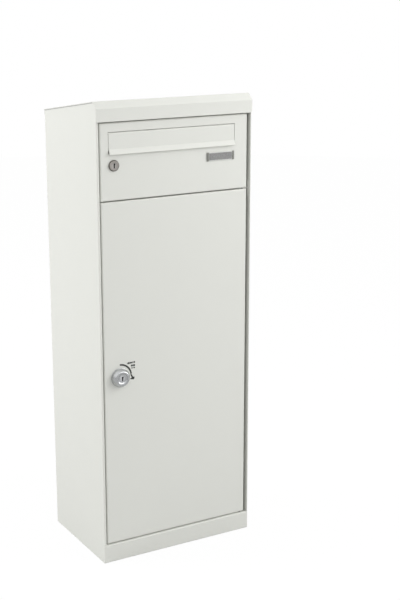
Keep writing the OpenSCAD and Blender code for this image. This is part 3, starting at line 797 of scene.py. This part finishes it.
@dataclass
class PrintedMarks:
    """Marks printed on the parcel door beside the knob: an arc with an arrowhead, and three rows of plain dashes.

    Each dash is given as its two ends, its middle's height and its own height, from the knob's axis.
    """

    knob: Axis
    radius_mm: float = 27.0
    sweep_deg: float = 83.5
    stroke_mm: float = 3.7
    lift_mm: float = 0.7
    film_mm: float = 0.06
    bars_mm: tuple[tuple[float, float, float, float], ...] = (
        (17.2, 18.8, 28.4, 3.2),
        (19.6, 23.6, 28.5, 4.4),
        (24.2, 29.4, 28.7, 3.4),
        (30.4, 32.6, 28.9, 3.8),
        (33.6, 36.4, 29.0, 4.2),
        (26.6, 31.2, 22.0, 4.0),
        (32.0, 36.3, 22.0, 4.4),
        (27.4, 31.0, 16.6, 2.2),
        (32.6, 36.2, 16.6, 2.8),
    )
    head_mm: tuple[tuple[float, float], ...] = ((24.6, 2.6), (28.0, 2.8), (31.4, -3.4), (35.2, -4.2), (33.6, -9.8),
                                                (24.6, -8.4), (24.8, -6.4), (28.2, -5.4))

    def arc_outline(self, steps: int = 40) -> list[tuple[float, float]]:
        """Corner points of the arc from straight up round to the right, as (x, z).

        Args:
            steps: The number of straight steps along the arc.

        Returns:
            The outer edge and then the inner edge, as a closed outline in metres.
        """
        turns = [math.radians(90.0 - self.sweep_deg * i / steps) for i in range(steps + 1)]
        outer = [(self.radius_mm + self.stroke_mm / 2, a) for a in turns]
        inner = [(self.radius_mm - self.stroke_mm / 2, a) for a in reversed(turns)]
        z = self.knob.z + self.lift_mm * MM
        return [(self.knob.x + r * MM * math.cos(a), z + r * MM * math.sin(a)) for r, a in outer + inner]

    def build(self) -> list[bpy.types.Object]:
        """Makes the printed film and returns it."""
        outlines = [self.arc_outline()]
        outlines.append([(self.knob.x + x * MM, self.knob.z + z * MM) for x, z in self.head_mm])
        for x0, x1, z, height in self.bars_mm:
            outlines.append(rectangle(self.knob.x + x0 * MM, self.knob.x + x1 * MM,
                                      self.knob.z + (z - height / 2) * MM, self.knob.z + (z + height / 2) * MM))
        film, thickness = bmesh.new(), self.film_mm * MM
        for outline in outlines:
            join(film, slab(outline, self.knob.y - thickness, thickness))
        ink = Moulding("screen_print_ink", "#2f302d", 0.6, grain_mm=0.4, grain_depth_mm=0.005).material()
        marks = piece_from("printed_marks", film, ink)
        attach(marks, Body.LOWER_DOOR.value)
        return [marks]


# ---- Studio ----


@dataclass(frozen=True)
class Softbox:
    """A rectangular area light aimed at a point on the box, which may light only some of its pieces."""

    name: str
    place: tuple[float, float, float]
    target: tuple[float, float, float]
    size: tuple[float, float]
    watts: float
    seen_in_metal: bool = True
    only: tuple[str, ...] = ()

    def build(self) -> bpy.types.Object:
        """Makes the light and returns it."""
        data = bpy.data.lights.new(self.name, "AREA")
        data.shape = "RECTANGLE"
        data.size, data.size_y = self.size
        data.energy = self.watts
        light = bpy.data.objects.new(self.name, data)
        bpy.context.scene.collection.objects.link(light)
        light.location = self.place
        light.visible_camera = False
        light.visible_glossy = self.seen_in_metal
        if self.only:
            lit = bpy.data.collections.new(f"{self.name}_lights")
            for name in self.only:
                lit.objects.link(bpy.data.objects[name])
            light.light_linking.receiver_collection = lit
        aim = Vector(self.target) - Vector(self.place)
        light.rotation_euler = aim.to_track_quat("-Z", "Y").to_euler()
        return light


@dataclass(frozen=True)
class RoomGlow:
    """A bright side of the room that shiny pieces mirror, growing with the cosine of the angle to its middle."""

    toward: tuple[float, float, float]
    start: float
    stop: float
    low: float
    high: float


@dataclass
class Studio:
    """A white floor and background, large soft lights and the camera."""

    ambient: float = 0.81
    ceiling: RoomGlow = RoomGlow((0.0, 0.0, 1.0), start=0.05, stop=0.45, low=0.72, high=1.2)
    window: RoomGlow = RoomGlow((0.9, -0.42, 0.12), start=0.88, stop=0.97, low=0.0, high=2.2)
    floor_radius: float = 6.0
    floor_drop: float = 0.0002
    floor_grey: float = 0.6
    floor_grey_in_metal: float = 0.62
    floor_glow: float = 1.03
    floor_glow_share: float = 0.93
    softboxes: tuple[Softbox, ...] = (
        Softbox("rear_left_window", (-3.0, 1.8, 1.8), (-0.18, 0.0, 0.6), (2.0, 2.4), 65.0),
        Softbox("front_right_key", (2.6, -3.2, 2.6), (0.1, -0.1, 0.55), (1.8, 1.8), 17.5, seen_in_metal=False),
        Softbox("low_front_fill", (2.2, -2.4, 1.2), (0.1, -0.1, 0.7), (1.4, 1.4), 10.3, seen_in_metal=False),
        Softbox("near_right_strip", (1.1, -0.9, 1.5), (0.15, -0.13, 0.8), (0.6, 0.8), 7.0, seen_in_metal=False),
        Softbox("knob_reflector", (0.34, -0.72, 0.7), (-0.14, -0.14, 0.42), (0.9, 0.36), 2.2,
                only=("turned_grip", "pressed_rose", "knob_plug")),
        Softbox("knob_rim_light", (0.6, -0.33, 0.72), (-0.14, -0.14, 0.42), (0.16, 0.5), 0.6,
                only=("turned_grip", "pressed_rose")),
    )
    eye: tuple[float, float, float] = (-1.2723, -2.4154, 1.2759)
    tilt_deg: float = 75.06
    turn_deg: float = -30.18
    lens_mm: float = 75.21

    def light_world(self) -> None:
        """Sets a pale even ambient light and a white background for the camera."""
        world = bpy.data.worlds.new("pale_surround")
        bpy.context.scene.world = world
        world.use_nodes = True
        tree = world.node_tree
        tree.nodes.clear()
        path = add_node(tree, "LightPath")
        ambient = add_node(tree, "Background", {"Color": (1.0, 1.0, 1.0, 1.0), "Strength": self.ambient})
        white = add_node(tree, "Background", {"Color": (1.0, 1.0, 1.0, 1.0), "Strength": 1.0})
        straight = add_node(tree, "Math", {0: path.outputs["Is Camera Ray"], 1: path.outputs["Is Transmission Ray"]},
                            operation="MAXIMUM")
        # Metal mirrors a dim room with a pale ceiling and a bright window on the right.
        place = add_node(tree, "TexCoord")
        lobes = []
        for glow in (self.ceiling, self.window):
            along = add_node(tree, "VectorMath", {0: place.outputs["Generated"], 1: glow.toward},
                             operation="DOT_PRODUCT")
            lobes.append(add_node(tree, "MapRange", {"Value": along.outputs["Value"], "From Min": glow.start,
                                                     "From Max": glow.stop, "To Min": glow.low, "To Max": glow.high}))
        brightest = add_node(tree, "Math", {0: lobes[0].outputs[0], 1: lobes[1].outputs[0]}, operation="MAXIMUM")
        room = add_node(tree, "Background", {"Color": (1.0, 1.0, 1.0, 1.0), "Strength": brightest.outputs[0]})
        lit = add_node(tree, "MixShader", {0: path.outputs["Is Glossy Ray"], 1: ambient.outputs[0], 2: room.outputs[0]})
        seen = add_node(tree, "MixShader", {0: straight.outputs[0], 1: lit.outputs[0], 2: white.outputs[0]})
        add_node(tree, "OutputWorld", {"Surface": seen.outputs[0]})

    def floor(self) -> bpy.types.Object:
        """Makes the floor, white to the camera but for the box's own faint shadow, and returns it."""
        bm = bmesh.new()
        bmesh.ops.create_circle(bm, cap_ends=True, segments=96, radius=self.floor_radius)
        mesh = bpy.data.meshes.new("studio_floor")
        bm.to_mesh(mesh)
        bm.free()
        floor = bpy.data.objects.new("studio_floor", mesh)
        bpy.context.scene.collection.objects.link(floor)
        floor.location.z = -self.floor_drop
        material = bpy.data.materials.new("white_paper_floor")
        material.use_nodes = True
        tree = material.node_tree
        tree.nodes.clear()
        path = add_node(tree, "LightPath")
        plain, in_metal = ((grey, grey, grey, 1.0) for grey in (self.floor_grey, self.floor_grey_in_metal))
        # Inputs 6 and 7 of a Mix node are its two colours, and output 2 is the blend.
        paper = add_node(tree, "Mix", {0: path.outputs["Is Glossy Ray"], 6: plain, 7: in_metal}, data_type="RGBA")
        diffuse = add_node(tree, "BsdfDiffuse", {"Color": paper.outputs[2]})
        glow = add_node(tree, "Emission", {"Color": (1.0, 1.0, 1.0, 1.0), "Strength": self.floor_glow})
        straight = add_node(tree, "Math", {0: path.outputs["Is Camera Ray"], 1: path.outputs["Is Transmission Ray"]},
                            operation="MAXIMUM")
        share = add_node(tree, "Math", {0: straight.outputs[0], 1: self.floor_glow_share}, operation="MULTIPLY")
        both = add_node(tree, "MixShader", {0: share.outputs[0], 1: diffuse.outputs[0], 2: glow.outputs[0]})
        add_node(tree, "OutputMaterial", {"Surface": both.outputs[0]})
        mesh.materials.append(material)
        floor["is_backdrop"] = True
        return floor

    def camera(self) -> bpy.types.Object:
        """Makes the camera and returns it."""
        data = bpy.data.cameras.new("camera")
        data.lens = self.lens_mm
        data.sensor_width = 36.0
        data.clip_start, data.clip_end = 0.05, 50.0
        data.dof.use_dof = False
        camera = bpy.data.objects.new("camera", data)
        bpy.context.scene.collection.objects.link(camera)
        camera.location = self.eye
        camera.rotation_euler = (math.radians(self.tilt_deg), 0.0, math.radians(self.turn_deg))
        bpy.context.scene.camera = camera
        return camera

    def build(self) -> None:
        """Sets up the world, floor, lights, camera and colour handling."""
        self.light_world()
        self.floor()
        for softbox in self.softboxes:
            softbox.build()
        self.camera()
        bpy.context.scene.view_settings.view_transform = "Standard"
        bpy.context.scene.view_settings.look = "None"


def main() -> None:
    """Loads the frame, dresses it, adds the finer pieces and sets up the studio."""
    logging.basicConfig(level=logging.INFO)
    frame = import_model()
    before = [corner.copy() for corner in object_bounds()]
    palette = Palette().build()
    palette.dress(frame)
    knob = axis_of("knob_rose", "lower_door")
    assemblies = (
        KnobLock(knob),
        LetterLock(axis_of("upper_lock_body", "upper_door")),
        RoofSeamShade(),
        KeySlot("upper_lock_plug", Body.UPPER_LOCK),
        KeySlot("knob_plug", Body.KNOB_PLUG),
        NamePlate(palette),
        PrintedMarks(knob),
    )
    for assembly in assemblies:
        for piece in assembly.build():
            LOG.info("%s: %s, %d faces", type(assembly).__name__, piece.name, len(piece.data.polygons))
    Studio().build()


if __name__ == "__main__":
    main()
